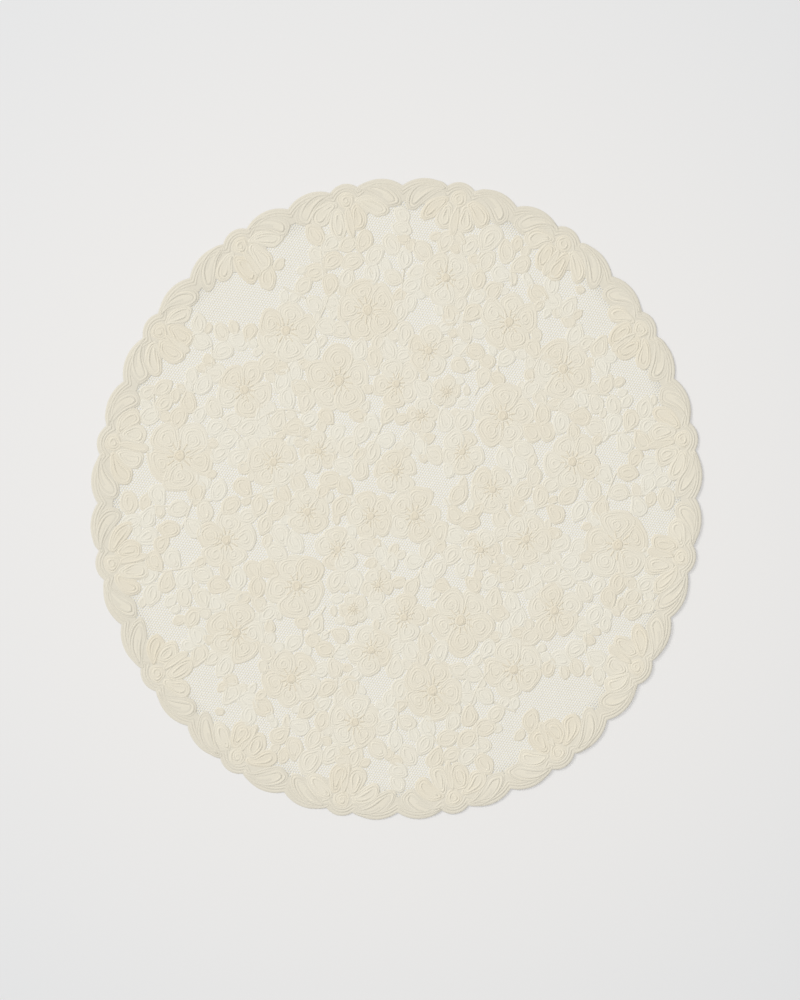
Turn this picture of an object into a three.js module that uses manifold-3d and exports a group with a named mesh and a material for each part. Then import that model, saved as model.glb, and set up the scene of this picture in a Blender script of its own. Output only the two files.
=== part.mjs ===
// Round lace placemat: fine cotton net worked all over with corded flowers and leaf sprigs, inside a scalloped
// border. It is one cloth, so it is one flat solid, and the corded work stands up from the net in low relief.
// Millimetres, +Z up. The mat lies on z = 0 with its centre on the origin, as it lies on a table.

import * as THREE from "three";
import { mergeVertices } from "three/addons/utils/BufferGeometryUtils.js";
import Module from "manifold-3d";

// Heights of the layers above the table
const NET_TOP = 1.0;
const BORDER_TOP = 1.2;
const SCROLL_TOP = 1.4;
const LEAF_TOP = 1.3;
const PETAL_TOP = 1.4;
const HEART_TOP = 1.6;
const ROOT = 0.8; // where the raised work starts, inside the net

// Edge: sixteen repeats of a big, a small and a big scallop, with a deep notch between the repeats
const EDGE_RADIUS = 187.5;
const REPEATS = 16;
const REPEAT_DEG = 360 / REPEATS;
const BIG_SCALLOP_DEG = 9;
const BIG_SCALLOP_STEPS = 5;
const SMALL_SCALLOP_STEPS = 3;
const DEEP_NOTCH = 6.8;
const SIDE_NOTCH = 2.4;

// Border: a dense band that is deepest under each small scallop
const BORDER_WIDTH = 17.5;
const FAN_DEPTH = 12;
const INNER_EDGE_STEPS = 8; // for each repeat

// Border scrolls: two in each repeat, from a round head at the deep notch to a tail at the small scallop.
// A row is a station: its share of the way, the inset of its middle from the edge, and its reach to each side.
const SCROLL_START_DEG = 1.7; // from the deep notch
const SCROLL_SPAN_DEG = 6.6;
const SCROLL_STATIONS = [
  { share: 0, inset: 9.0, outer: 1.8, inner: 3.0 },
  { share: 0.12, inset: 9.0, outer: 3.0, inner: 5.4 },
  { share: 0.42, inset: 8.0, outer: 3.2, inner: 5.0 },
  { share: 0.75, inset: 6.8, outer: 2.0, inner: 3.0 },
  { share: 1, inset: 6.2, outer: 0.8, inner: 1.4 },
];

// The cloth isn't quite round: it is drawn out along one axis, with slow waves in its edge's radius
const LONG_AXIS_DEG = 82;
const STRETCH = 0.0295;
const WAVES = [
  { count: 1, size: 2, lead: -151 },
  { count: 2, size: 0.5, lead: -30 },
  { count: 3, size: 0.55, lead: 166 },
  { count: 6, size: 0.5, lead: -22 },
];
const PATTERN_MIDDLE = new THREE.Vector2(2.1, -1.1); // from the middle of the cloth's box

// Flowers, in the round pattern before it is drawn out: the heart's place, the petals' reach and the first
// petal's direction in degrees. Each row is worked twice, the second time half a turn round the mat.
const PETALS = 5;
const STEPS_PER_PETAL = 4;
const PETAL_VALLEY = 0.58; // radius between two petals, as a share of the reach
const VALLEY_RISE = 0.5; // height between two petals, as a share of a petal's
const PETAL_CROWN = 0.74; // radius of a petal's highest line, as a share of its edge
const PETAL_ROOM = 0.86; // of the reach, kept clear of leaves
const PETAL_SKIRT = 1.12; // where its slope starts inside the net, so that it leaves the net at its edge
const FLOWERS = [
  { x: 27, y: 129, reach: 17, turn: 52 },
  { x: -21, y: 111, reach: 19.5, turn: 100 },
  { x: -71, y: 99, reach: 18, turn: 75 },
  { x: -96, y: 65, reach: 17, turn: 60 },
  { x: -135, y: 27, reach: 20.5, turn: 55 },
  { x: -106, y: -22, reach: 17.5, turn: 300 },
  { x: -78, y: 23, reach: 16, turn: 98 },
  { x: -57, y: -6, reach: 14.5, turn: 20 },
  { x: -38, y: 70, reach: 20, turn: 86 },
  { x: -3, y: 68, reach: 15, turn: 40 },
  { x: 17, y: 87, reach: 14.5, turn: 10 },
  { x: 66, y: 103, reach: 18, turn: 80 },
  { x: 100, y: 76, reach: 18, turn: 40 },
  { x: 63, y: 49, reach: 19, turn: 8 },
  { x: 13, y: 49, reach: 10.5, turn: 90 },
  { x: -50, y: 29, reach: 12.5, turn: 30 },
  { x: 28, y: 63, reach: 9.5, turn: 0 },
  { x: 38, y: 28, reach: 13.5, turn: 60 },
];

// Three flowers in the very middle, which are worked once.
const MIDDLE_FLOWERS = [
  { x: 9, y: -9, reach: 17, turn: 70 },
  { x: -18, y: -9, reach: 14.5, turn: 105 },
  { x: -3, y: 17, reach: 14, turn: 20 },
];

// Sprigs, in the same pattern and also worked twice: where the stem starts, its direction, its length, how far
// it turns on the way, and its leaves, which stand left and right in turn with the last one at the tip.
const LEAF_SIDES = 6;
const LEAF_WIDTH = 0.74; // of its length
const LEAF_SPREAD_DEG = 55; // between a side leaf and its stem
const LEAF_FULLNESS = 0.22; // a leaf is broader towards its round end
const LEAF_ROOM = 0.33; // half the room a leaf keeps to its neighbours, as a share of its length
const SPRIGS = [
  { x: -116, y: 78, heading: 88, length: 30, bend: 8, leaves: 5, leaf: 14.5 },
  { x: -88, y: 96, heading: 178, length: 28, bend: -10, leaves: 4, leaf: 14 },
  { x: -93, y: 130, heading: -12, length: 36, bend: -15, leaves: 5, leaf: 13 },
  { x: -48, y: 130, heading: 100, length: 26, bend: -10, leaves: 5, leaf: 14.5 },
  { x: -18, y: 132, heading: 118, length: 24, bend: 20, leaves: 5, leaf: 14.5 },
  { x: -2, y: 142, heading: 94, length: 5, bend: 0, leaves: 1, leaf: 20 },
  { x: -57, y: 98, heading: 45, length: 24, bend: 30, leaves: 4, leaf: 14 },
  { x: -54, y: 97, heading: -62, length: 20, bend: 20, leaves: 4, leaf: 13 },
  { x: -82, y: 77, heading: 0, length: 3, bend: 0, leaves: 1, leaf: 21.5 },
  { x: -30, y: 88, heading: 60, length: 24, bend: -50, leaves: 4, leaf: 14 },
  { x: -62, y: 52, heading: 160, length: 26, bend: 60, leaves: 5, leaf: 14 },
  { x: -62, y: 38, heading: 85, length: 12, bend: 20, leaves: 2, leaf: 13 },
  { x: -92, y: 30, heading: 128, length: 26, bend: 10, leaves: 5, leaf: 14 },
  { x: -111, y: 46, heading: 80, length: 14, bend: 0, leaves: 2, leaf: 13 },
  { x: -137, y: 66, heading: -10, length: 22, bend: -20, leaves: 4, leaf: 14 },
  { x: -72, y: 8, heading: 190, length: 26, bend: 10, leaves: 4, leaf: 14 },
  { x: -148, y: 48, heading: 110, length: 20, bend: -20, leaves: 4, leaf: 13 },
  { x: -138, y: -2, heading: 180, length: 24, bend: 0, leaves: 4, leaf: 14 },
  { x: -129, y: 2, heading: -5, length: 28, bend: 0, leaves: 4, leaf: 14 },
  { x: -24, y: 28, heading: 120, length: 24, bend: 15, leaves: 4, leaf: 14.5 },
  { x: 0, y: 22, heading: 90, length: 3, bend: 0, leaves: 1, leaf: 18 },
  { x: -18, y: 30, heading: 65, length: 16, bend: 0, leaves: 3, leaf: 13 },
  { x: -38, y: -2, heading: 0, length: 16, bend: 0, leaves: 3, leaf: 13 },
  { x: 46, y: 140, heading: 60, length: 4, bend: 0, leaves: 1, leaf: 19 },
  { x: 68, y: 120, heading: 95, length: 24, bend: 0, leaves: 6, leaf: 14 },
  { x: 52, y: 118, heading: 150, length: 12, bend: 0, leaves: 2, leaf: 13 },
  { x: 38, y: 100, heading: 95, length: 14, bend: 0, leaves: 3, leaf: 14 },
  { x: 86, y: 114, heading: 0, length: 30, bend: 8, leaves: 5, leaf: 14 },
  { x: 114, y: 90, heading: 70, length: 20, bend: 20, leaves: 4, leaf: 14 },
  { x: 118, y: 82, heading: 15, length: 26, bend: 15, leaves: 5, leaf: 14 },
  { x: 112, y: 62, heading: -4, length: 28, bend: 0, leaves: 5, leaf: 13 },
  { x: 82, y: 60, heading: -30, length: 24, bend: 10, leaves: 4, leaf: 14.5 },
  { x: 118, y: 36, heading: 8, length: 38, bend: 0, leaves: 7, leaf: 14 },
  { x: 126, y: -4, heading: 75, length: 34, bend: -20, leaves: 5, leaf: 14 },
  { x: 80, y: 74, heading: 60, length: 14, bend: 0, leaves: 3, leaf: 13 },
  { x: 46, y: 78, heading: 215, length: 10, bend: 0, leaves: 2, leaf: 12.5 },
  { x: 76, y: 24, heading: 20, length: 14, bend: 0, leaves: 3, leaf: 13 },
  { x: 70, y: 6, heading: 5, length: 20, bend: 0, leaves: 4, leaf: 13 },
  { x: 0, y: 92, heading: 95, length: 20, bend: 10, leaves: 3, leaf: 13 },
  { x: 0, y: 118, heading: 90, length: 16, bend: -10, leaves: 4, leaf: 13 },
  { x: 36, y: 84, heading: 50, length: 18, bend: 0, leaves: 4, leaf: 13 },
  { x: 60, y: 74, heading: 100, length: 16, bend: 0, leaves: 4, leaf: 13 },
  { x: 38, y: 48, heading: 60, length: 20, bend: 0, leaves: 4, leaf: 13 },
  { x: 20, y: 14, heading: -60, length: 20, bend: 0, leaves: 4, leaf: 13 },
];

// Windows of open net that the leaves keep clear of, also twice.
const WINDOW_CORE = 0.75; // the share of a window's radius that no leaf covers
const WINDOWS = [
  { x: -112, y: 112, radius: 10 },
  { x: -98, y: 115, radius: 11 },
  { x: -86, y: 117, radius: 8 },
  { x: -66, y: 146, radius: 10 },
  { x: -70, y: 129, radius: 8 },
  { x: -127, y: 84, radius: 6 },
  { x: -139, y: 74, radius: 7 },
  { x: -95, y: 83, radius: 6 },
  { x: -158, y: 11, radius: 8 },
  { x: -105, y: 16, radius: 7 },
  { x: -52, y: 13, radius: 5 },
  { x: -37, y: 89, radius: 6 },
  { x: -37, y: 48, radius: 5 },
  { x: -15, y: 58, radius: 5 },
  { x: -16, y: 8, radius: 4 },
  { x: -11, y: 160, radius: 7 },
  { x: 11, y: 158, radius: 8 },
  { x: 13, y: 107, radius: 8 },
  { x: 0, y: 41, radius: 4 },
  { x: 25, y: 36, radius: 5 },
  { x: 37, y: 17, radius: 5 },
  { x: 43, y: 70, radius: 5 },
  { x: 46, y: 56, radius: 5 },
  { x: 55, y: 25, radius: 5 },
  { x: 65, y: 156, radius: 7 },
  { x: 66, y: 65, radius: 4 },
  { x: 70, y: 75, radius: 6 },
  { x: 71, y: 120, radius: 6 },
  { x: 86, y: 30, radius: 6 },
  { x: 86, y: 130, radius: 5 },
  { x: 93, y: 99, radius: 8 },
  { x: 102, y: 123, radius: 6 },
  { x: 118, y: 113, radius: 9 },
  { x: 119, y: 101, radius: 8 },
  { x: 130, y: 27, radius: 7 },
  { x: 136, y: 78, radius: 6 },
  { x: 147, y: 66, radius: 9 },
];

const IVORY = 0xe5e0d0;
const CLOTH_ROUGHNESS = 0.92;

const MERGE_DISTANCE = 1e-4;
const rad = THREE.MathUtils.degToRad;
const CENTRE = new THREE.Vector2(0, 0);
const wasm = await Module();
wasm.setup();

// A point at a distance from the middle of the pattern, in a direction given in degrees.
function polar(radius, degrees) {
  return new THREE.Vector2(radius, 0).rotateAround(CENTRE, rad(degrees));
}

// Where a point of the round pattern lies on the table: slow waves in its radius, which fade towards the middle,
// then the drawn-out axis.
function laid(point) {
  const angle = point.angle();
  const wave = WAVES.reduce((sum, w) => sum + w.size * Math.cos(w.count * angle + rad(w.lead)), 0);
  const outwards = point.length() / EDGE_RADIUS;
  const place = point.clone().multiplyScalar(1 + (wave * outwards ** 2) / EDGE_RADIUS);
  place.rotateAround(CENTRE, -rad(LONG_AXIS_DEG));
  place.set(place.x * (1 + STRETCH), place.y * (1 - STRETCH));
  return place.rotateAround(CENTRE, rad(LONG_AXIS_DEG)).add(PATTERN_MIDDLE);
}

// A closed geometry as a solid that can be joined to others. Faces drawn to nothing by a pole are left out.
function solid(geometry) {
  geometry.deleteAttribute("normal");
  geometry.deleteAttribute("uv");
  const merged = mergeVertices(geometry, MERGE_DISTANCE);
  const corners = merged.index.array;
  const kept = [];
  for (let i = 0; i < corners.length; i += 3) {
    const [a, b, c] = [corners[i], corners[i + 1], corners[i + 2]];
    if (a !== b && b !== c && c !== a) kept.push(a, b, c);
  }
  return new wasm.Manifold(
    new wasm.Mesh({
      numProp: 3,
      vertProperties: merged.attributes.position.array,
      triVerts: new Uint32Array(kept),
    }),
  );
}

// A flat layer with the given outline, from one height to another.
function layer(outline, bottom, top) {
  const shape = new THREE.Shape(outline.map(laid));
  const geometry = new THREE.ExtrudeGeometry(shape, { depth: top - bottom, bevelEnabled: false });
  return solid(geometry.translate(0, 0, bottom));
}

// One scallop: a circular arc that stands out from the chord between two notches, up to the next one's start.
function scallop(from, to, bulge, steps) {
  const chord = to.clone().sub(from);
  const half = chord.length() / 2;
  const radius = (half * half + bulge * bulge) / (2 * bulge);
  const outward = new THREE.Vector2(chord.y, -chord.x).normalize();
  return Array.from({ length: steps }, (_, i) => {
    const share = i / steps;
    const across = (2 * share - 1) * half;
    const rise = Math.sqrt(radius * radius - across * across) - (radius - bulge);
    return from.clone().addScaledVector(chord, share).addScaledVector(outward, rise);
  });
}

// The scalloped outline. Each scallop stands out to the edge's radius.
function scallopedEdge() {
  const points = [];
  for (let i = 0; i < REPEATS; i += 1) {
    const start = i * REPEAT_DEG;
    const deep = polar(EDGE_RADIUS - DEEP_NOTCH, start);
    const first = polar(EDGE_RADIUS - SIDE_NOTCH, start + BIG_SCALLOP_DEG);
    const second = polar(EDGE_RADIUS - SIDE_NOTCH, start + REPEAT_DEG - BIG_SCALLOP_DEG);
    const next = polar(EDGE_RADIUS - DEEP_NOTCH, start + REPEAT_DEG);
    const bulge = (a, b) => EDGE_RADIUS - a.clone().add(b).length() / 2;
    points.push(...scallop(deep, first, bulge(deep, first), BIG_SCALLOP_STEPS));
    points.push(...scallop(first, second, bulge(first, second), SMALL_SCALLOP_STEPS));
    points.push(...scallop(second, next, bulge(second, next), BIG_SCALLOP_STEPS));
  }
  return points;
}

// The border's inner edge at a direction: in under each small scallop and out again at each deep notch.
function borderInnerRadius(degrees) {
  const fan = (1 - Math.cos(rad(REPEATS * degrees))) / 2;
  return EDGE_RADIUS - BORDER_WIDTH - FAN_DEPTH * fan;
}

// The outline of the border's inner edge.
function borderInnerEdge() {
  return Array.from({ length: REPEATS * INNER_EDGE_STEPS }, (_, i) => {
    const degrees = (REPEAT_DEG * i) / INNER_EDGE_STEPS;
    return polar(borderInnerRadius(degrees), degrees);
  });
}

// A border scroll: a band along the scallop that narrows from its round head to its tail. Side is 1 or -1.
function scroll(notchDeg, side) {
  const along = (share) => notchDeg + side * (SCROLL_START_DEG + SCROLL_SPAN_DEG * share);
  const outer = SCROLL_STATIONS.map((s) => polar(EDGE_RADIUS - s.inset + s.outer, along(s.share)));
  const inner = SCROLL_STATIONS.map((s) => polar(EDGE_RADIUS - s.inset - s.inner, along(s.share)));
  return layer([...outer, ...inner.reverse()], ROOT, SCROLL_TOP);
}

// Moves the points of a turned form into a motif: plan gives a point's place in the pattern, height its level.
function motif(geometry, plan, height) {
  geometry.rotateX(Math.PI / 2);
  const points = geometry.attributes.position;
  for (let i = 0; i < points.count; i += 1) {
    const [x, y, z] = [points.getX(i), points.getY(i), points.getZ(i)];
    const place = laid(plan(x, y));
    points.setXYZ(i, place.x, place.y, height(x, y, z));
  }
  return solid(geometry);
}

// A flower: a low mound whose edge goes in and out as petals, highest at its heart.
function flower(heart, reach, turnDeg) {
  const petal = (x, y) => Math.abs(Math.cos((PETALS / 2) * (Math.atan2(y, x) - rad(turnDeg))));
  const profile = [
    [0, ROOT],
    [PETAL_SKIRT, ROOT],
    [PETAL_CROWN, PETAL_TOP],
    [0, HEART_TOP],
  ].map(([radius, level]) => new THREE.Vector2(radius, level));
  const plan = (x, y) => {
    const edge = reach * THREE.MathUtils.lerp(PETAL_VALLEY, 1, Math.sqrt(petal(x, y)));
    return new THREE.Vector2(x, y).multiplyScalar(edge).add(heart);
  };
  const height = (x, y, z) => {
    if (z !== PETAL_TOP) return z;
    const rise = THREE.MathUtils.lerp(VALLEY_RISE, 1, petal(x, y));
    return THREE.MathUtils.lerp(NET_TOP, PETAL_TOP, rise);
  };
  const turned = new THREE.LatheGeometry(profile, PETALS * STEPS_PER_PETAL, rad(turnDeg) + Math.PI / 2);
  return motif(turned, plan, height);
}

// A leaf: a low peaked mound, pointed where it joins the stem and round and broad at the other end.
function leaf(stem, directionDeg, length) {
  const grow = (LEAF_TOP - ROOT) / (LEAF_TOP - NET_TOP); // wider at its root, which is inside the net
  const plan = (x, y) => {
    const along = (length / 2) * (1 + x * grow);
    const across = ((length * LEAF_WIDTH) / 2) * y * grow * (1 + LEAF_FULLNESS * x);
    return new THREE.Vector2(along, across).rotateAround(CENTRE, rad(directionDeg)).add(stem);
  };
  const height = (x, y, z) => (z > 0 ? LEAF_TOP : ROOT);
  return motif(new THREE.ConeGeometry(1, 1, LEAF_SIDES), plan, height);
}

// The leaves of one sprig, along a stem that turns evenly.
function sprigLeaves(sprig) {
  const made = [];
  for (let i = 1; i <= sprig.leaves; i += 1) {
    const share = i / sprig.leaves;
    const foot = polar(sprig.length * share, sprig.heading + (sprig.bend * share) / 2);
    foot.add(new THREE.Vector2(sprig.x, sprig.y));
    const side = i === sprig.leaves ? 0 : (-1) ** i;
    const direction = sprig.heading + sprig.bend * share + side * LEAF_SPREAD_DEG;
    const middle = polar(sprig.leaf / 2, direction).add(foot);
    made.push({ foot, middle, direction, length: sprig.leaf });
  }
  return made;
}

// The leaves that find room: one is left out where the border, a flower, a window or an earlier leaf is in
// its way.
function leavesWithRoom() {
  const kept = [];
  for (const l of SPRIGS.flatMap(sprigLeaves)) {
    const room = l.length * LEAF_ROOM;
    const degrees = THREE.MathUtils.radToDeg(l.middle.angle());
    const inside = l.middle.length() < borderInnerRadius(degrees) - room;
    const opposite = l.middle.clone().negate();
    const clearOf = (x, y, reach) => {
      const other = new THREE.Vector2(x, y);
      return Math.min(other.distanceTo(l.middle), other.distanceTo(opposite)) > reach + room;
    };
    const flowers = [...FLOWERS, ...MIDDLE_FLOWERS];
    const offFlowers = flowers.every((f) => clearOf(f.x, f.y, f.reach * PETAL_ROOM));
    const offWindows = WINDOWS.every((w) => clearOf(w.x, w.y, w.radius * WINDOW_CORE));
    const offLeaves = kept.every((k) => clearOf(k.middle.x, k.middle.y, k.length * LEAF_ROOM));
    if (inside && offFlowers && offWindows && offLeaves) kept.push(l);
  }
  return kept;
}

// The whole cloth, joined: the net with its raised border, the scrolls, then the flowers and sprigs, each with
// its half-turn copy.
function laceMat() {
  const aboveNet = layer(borderInnerEdge(), NET_TOP, HEART_TOP);
  const pieces = [layer(scallopedEdge(), 0, BORDER_TOP).subtract(aboveNet)];
  for (let i = 0; i < REPEATS; i += 1) {
    pieces.push(scroll(i * REPEAT_DEG, 1), scroll(i * REPEAT_DEG, -1));
  }
  for (const f of MIDDLE_FLOWERS) pieces.push(flower(new THREE.Vector2(f.x, f.y), f.reach, f.turn));
  const leaves = leavesWithRoom();
  for (const half of [0, 180]) {
    const turned = (point) => point.clone().rotateAround(CENTRE, rad(half));
    for (const f of FLOWERS) pieces.push(flower(turned(new THREE.Vector2(f.x, f.y)), f.reach, f.turn + half));
    for (const l of leaves) pieces.push(leaf(turned(l.foot), l.direction + half, l.length));
  }
  return pieces.reduce((joined, piece) => joined.add(piece));
}

// The joined solid's points and faces as a mesh.
function meshOf(joined, name, material) {
  const { vertProperties, triVerts } = joined.getMesh();
  const geometry = new THREE.BufferGeometry();
  geometry.setAttribute("position", new THREE.BufferAttribute(vertProperties, 3));
  geometry.setIndex(new THREE.BufferAttribute(triVerts, 1));
  geometry.computeVertexNormals();
  const mesh = new THREE.Mesh(geometry, material);
  mesh.name = name;
  return mesh;
}

const cloth = new THREE.MeshStandardMaterial({ color: IVORY, roughness: CLOTH_ROUGHNESS, metalness: 0 });
const placemat = new THREE.Group();
placemat.add(meshOf(laceMat(), "lace_mat", cloth));

export default placemat;
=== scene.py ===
"""A round lace placemat, laid flat: fine net worked with corded flowers and leaves in a scalloped border.

The pattern is drawn round and in millimetres. laid() puts it on the table in metres, a little drawn out,
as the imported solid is. Nearly every motif is an egg: a low mound of padding with one cord wound over it,
from the outline to the middle. Cords and mounds are made of rings of points: a cord is a row of open
rings along its path, and a mound is a stack of closed ones from its underside to its top. The net is
bars between knots.
"""

import math
from collections import namedtuple

import bpy
import numpy as np
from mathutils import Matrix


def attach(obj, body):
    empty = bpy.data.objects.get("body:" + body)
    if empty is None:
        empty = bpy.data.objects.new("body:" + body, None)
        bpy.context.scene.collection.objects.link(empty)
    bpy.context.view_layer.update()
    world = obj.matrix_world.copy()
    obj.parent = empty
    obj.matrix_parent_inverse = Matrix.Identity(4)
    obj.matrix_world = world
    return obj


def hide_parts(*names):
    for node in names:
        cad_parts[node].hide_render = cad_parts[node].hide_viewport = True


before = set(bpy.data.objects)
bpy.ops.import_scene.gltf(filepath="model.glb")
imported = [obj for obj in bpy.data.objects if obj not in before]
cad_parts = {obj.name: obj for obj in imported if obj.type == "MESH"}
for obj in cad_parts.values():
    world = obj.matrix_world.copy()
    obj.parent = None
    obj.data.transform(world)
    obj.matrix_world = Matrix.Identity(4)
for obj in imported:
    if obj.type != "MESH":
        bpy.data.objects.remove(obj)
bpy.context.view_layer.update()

MM = 0.001

# Edge: sixteen repeats of a big, a small and a big scallop, with a deep notch between the repeats
EDGE_RADIUS = 187.5
REPEATS = 16
REPEAT_DEG = 360 / REPEATS
BIG_SCALLOP_DEG = 9
DEEP_NOTCH = 6.8
SIDE_NOTCH = 2.4
BORDER_WIDTH = 17.5
FAN_DEPTH = 12

# The cloth isn't quite round: the long axis it is drawn out along, and slow waves in its edge's radius,
# each with how many go round, how far they move the edge and the degrees by which they are ahead
LONG_AXIS_DEG = 82
STRETCH = 0.0295
Wave = namedtuple("Wave", "count size lead")
WAVES = [
    Wave(1, 2, -151),
    Wave(2, 0.5, -30),
    Wave(3, 0.55, 166),
    Wave(6, 0.5, -22),
]
PATTERN_MIDDLE = np.array([2.1, -1.1])  # from the middle of the cloth's box

# Flowers: the heart's place, the petals' reach and the first petal's direction. Each is worked twice,
# half a turn apart.
PETALS = 5
Flower = namedtuple("Flower", "x y reach turn")
FLOWERS = [
    Flower(27, 129, 17, 52),
    Flower(-21, 111, 19.5, 100),
    Flower(-71, 99, 18, 75),
    Flower(-96, 65, 17, 60),
    Flower(-135, 27, 20.5, 55),
    Flower(-106, -22, 17.5, 300),
    Flower(-78, 23, 16, 98),
    Flower(-57, -6, 14.5, 20),
    Flower(-38, 70, 20, 86),
    Flower(-3, 68, 15, 40),
    Flower(17, 87, 14.5, 10),
    Flower(66, 103, 18, 80),
    Flower(100, 76, 18, 40),
    Flower(63, 49, 19, 8),
    Flower(13, 49, 10.5, 90),
    Flower(-50, 29, 12.5, 30),
    Flower(28, 63, 9.5, 0),
    Flower(38, 28, 13.5, 60),
]

# Three flowers in the very middle are worked once
MIDDLE_FLOWERS = [
    Flower(9, -9, 17, 70),
    Flower(-18, -9, 14.5, 105),
    Flower(-3, 17, 14, 20),
]

# Leaves: their form, and the room that a leaf keeps to its length and a flower to its reach
LEAF_WIDTH = 0.74
LEAF_FULLNESS = 0.22
LEAF_POINT = 0.35
LEAF_SPREAD_DEG = 55  # from the stem
LEAF_BEND_DEG = 25
LEAF_ROOM = 0.33
PETAL_ROOM = 0.86

# Sprigs, also worked twice: where the stem starts, its direction, its length, its turn on the way, the
# number of its leaves and their length. A leaf that finds no room is left out.
Sprig = namedtuple("Sprig", "x y heading length bend leaves leaf")
SPRIGS = [
    Sprig(-116, 78, 88, 30, 8, 5, 14.5),
    Sprig(-88, 96, 178, 28, -10, 4, 14),
    Sprig(-93, 130, -12, 36, -15, 5, 13),
    Sprig(-48, 130, 100, 26, -10, 5, 14.5),
    Sprig(-18, 132, 118, 24, 20, 5, 14.5),
    Sprig(-2, 142, 94, 5, 0, 1, 20),
    Sprig(-57, 98, 45, 24, 30, 4, 14),
    Sprig(-54, 97, -62, 20, 20, 4, 13),
    Sprig(-82, 77, 0, 3, 0, 1, 21.5),
    Sprig(-30, 88, 60, 24, -50, 4, 14),
    Sprig(-62, 52, 160, 26, 60, 5, 14),
    Sprig(-62, 38, 85, 12, 20, 2, 13),
    Sprig(-92, 30, 128, 26, 10, 5, 14),
    Sprig(-111, 46, 80, 14, 0, 2, 13),
    Sprig(-137, 66, -10, 22, -20, 4, 14),
    Sprig(-72, 8, 190, 26, 10, 4, 14),
    Sprig(-148, 48, 110, 20, -20, 4, 13),
    Sprig(-138, -2, 180, 24, 0, 4, 14),
    Sprig(-129, 2, -5, 28, 0, 4, 14),
    Sprig(-24, 28, 120, 24, 15, 4, 14.5),
    Sprig(0, 22, 90, 3, 0, 1, 18),
    Sprig(-18, 30, 65, 16, 0, 3, 13),
    Sprig(-38, -2, 0, 16, 0, 3, 13),
    Sprig(46, 140, 60, 4, 0, 1, 19),
    Sprig(68, 120, 95, 24, 0, 6, 14),
    Sprig(52, 118, 150, 12, 0, 2, 13),
    Sprig(38, 100, 95, 14, 0, 3, 14),
    Sprig(86, 114, 0, 30, 8, 5, 14),
    Sprig(114, 90, 70, 20, 20, 4, 14),
    Sprig(118, 82, 15, 26, 15, 5, 14),
    Sprig(112, 62, -4, 28, 0, 5, 13),
    Sprig(82, 60, -30, 24, 10, 4, 14.5),
    Sprig(118, 36, 8, 38, 0, 7, 14),
    Sprig(126, -4, 75, 34, -20, 5, 14),
    Sprig(80, 74, 60, 14, 0, 3, 13),
    Sprig(46, 78, 215, 10, 0, 2, 12.5),
    Sprig(76, 24, 20, 14, 0, 3, 13),
    Sprig(70, 6, 5, 20, 0, 4, 13),
    Sprig(0, 92, 95, 20, 10, 3, 13),
    Sprig(0, 118, 90, 16, -10, 4, 13),
    Sprig(36, 84, 50, 18, 0, 4, 13),
    Sprig(60, 74, 100, 16, 0, 4, 13),
    Sprig(38, 48, 60, 20, 0, 4, 13),
    Sprig(20, 14, -60, 20, 0, 4, 13),
]

# Windows of open net that the leaves keep clear of, also twice
Window = namedtuple("Window", "x y radius")
WINDOWS = [
    Window(-112, 112, 10),
    Window(-98, 115, 11),
    Window(-86, 117, 8),
    Window(-66, 146, 10),
    Window(-70, 129, 8),
    Window(-127, 84, 6),
    Window(-139, 74, 7),
    Window(-95, 83, 6),
    Window(-158, 11, 8),
    Window(-105, 16, 7),
    Window(-52, 13, 5),
    Window(-37, 89, 6),
    Window(-37, 48, 5),
    Window(-15, 58, 5),
    Window(-16, 8, 4),
    Window(-11, 160, 7),
    Window(11, 158, 8),
    Window(13, 107, 8),
    Window(0, 41, 4),
    Window(25, 36, 5),
    Window(37, 17, 5),
    Window(43, 70, 5),
    Window(46, 56, 5),
    Window(55, 25, 5),
    Window(65, 156, 7),
    Window(66, 65, 4),
    Window(70, 75, 6),
    Window(71, 120, 6),
    Window(86, 30, 6),
    Window(86, 130, 5),
    Window(93, 99, 8),
    Window(102, 123, 6),
    Window(118, 113, 9),
    Window(119, 101, 8),
    Window(130, 27, 7),
    Window(136, 78, 6),
    Window(147, 66, 9),
]

# Thread sizes: how wide the cords are, and how high they stand out of what they lie on
CORD_PITCH = 1.5
FILL_WIDTH, FILL_HEIGHT = 1.5, 0.22
OUTLINE_WIDTH, OUTLINE_HEIGHT = 1.3, 0.18
STEM_WIDTH, STEM_HEIGHT = 1.2, 0.2
STITCH_WIDTH, STITCH_HEIGHT = 0.9, 0.2
CORD_STEP = 1.5  # between two rings of a cord
NET_PITCH = 1.62
NET_THREAD = 0.6
NET_HEIGHT = 0.08
TWIST_LENGTH = 1.9  # of cord for one turn of its strands

# A cord's outline across its path, in shares of its width and its height: foot, two shoulders, foot
CORD_ACROSS = [-0.56, -0.22, 0.22, 0.56]
CORD_UP = [-0.6, 0.95, 0.95, -0.6]

# Heights over the cloth's underside, and steps between them
PADDING_BOTTOM = 0.06
PADDING_EDGE = 0.12
LEAF_RISE = 0.08
PETAL_RISE = 0.1
BORDER_RISE = 0.18
HEART_LEVEL = 0.4
HEART_RISE = 0.08
LEVEL_SPREAD = 0.02  # by which motifs of one kind lie higher or lower, so that no two meet at one height
PETAL_STEP = 0.1  # by which every other petal lies higher
LEAF_STEP = 0.08  # from the lowest filling leaves to the sprigs' leaves, and from commas to border leaves
NET_BOTTOM = 0.03
STEM_FOOT = 0.24
STITCH_FOOT = 0.36
GROUND_TOP = 0.18

# The border is a low roll that comes down again at the edge. On the right its edge stands off the table.
ROLL_FROM = 165
ROLL = 0.35
ROLL_PEAK = 27 / 4  # brings the highest point of the roll's curve to 1
LIFT = 0.93
LIFT_DEG = -25  # where the edge stands off the most

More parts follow.
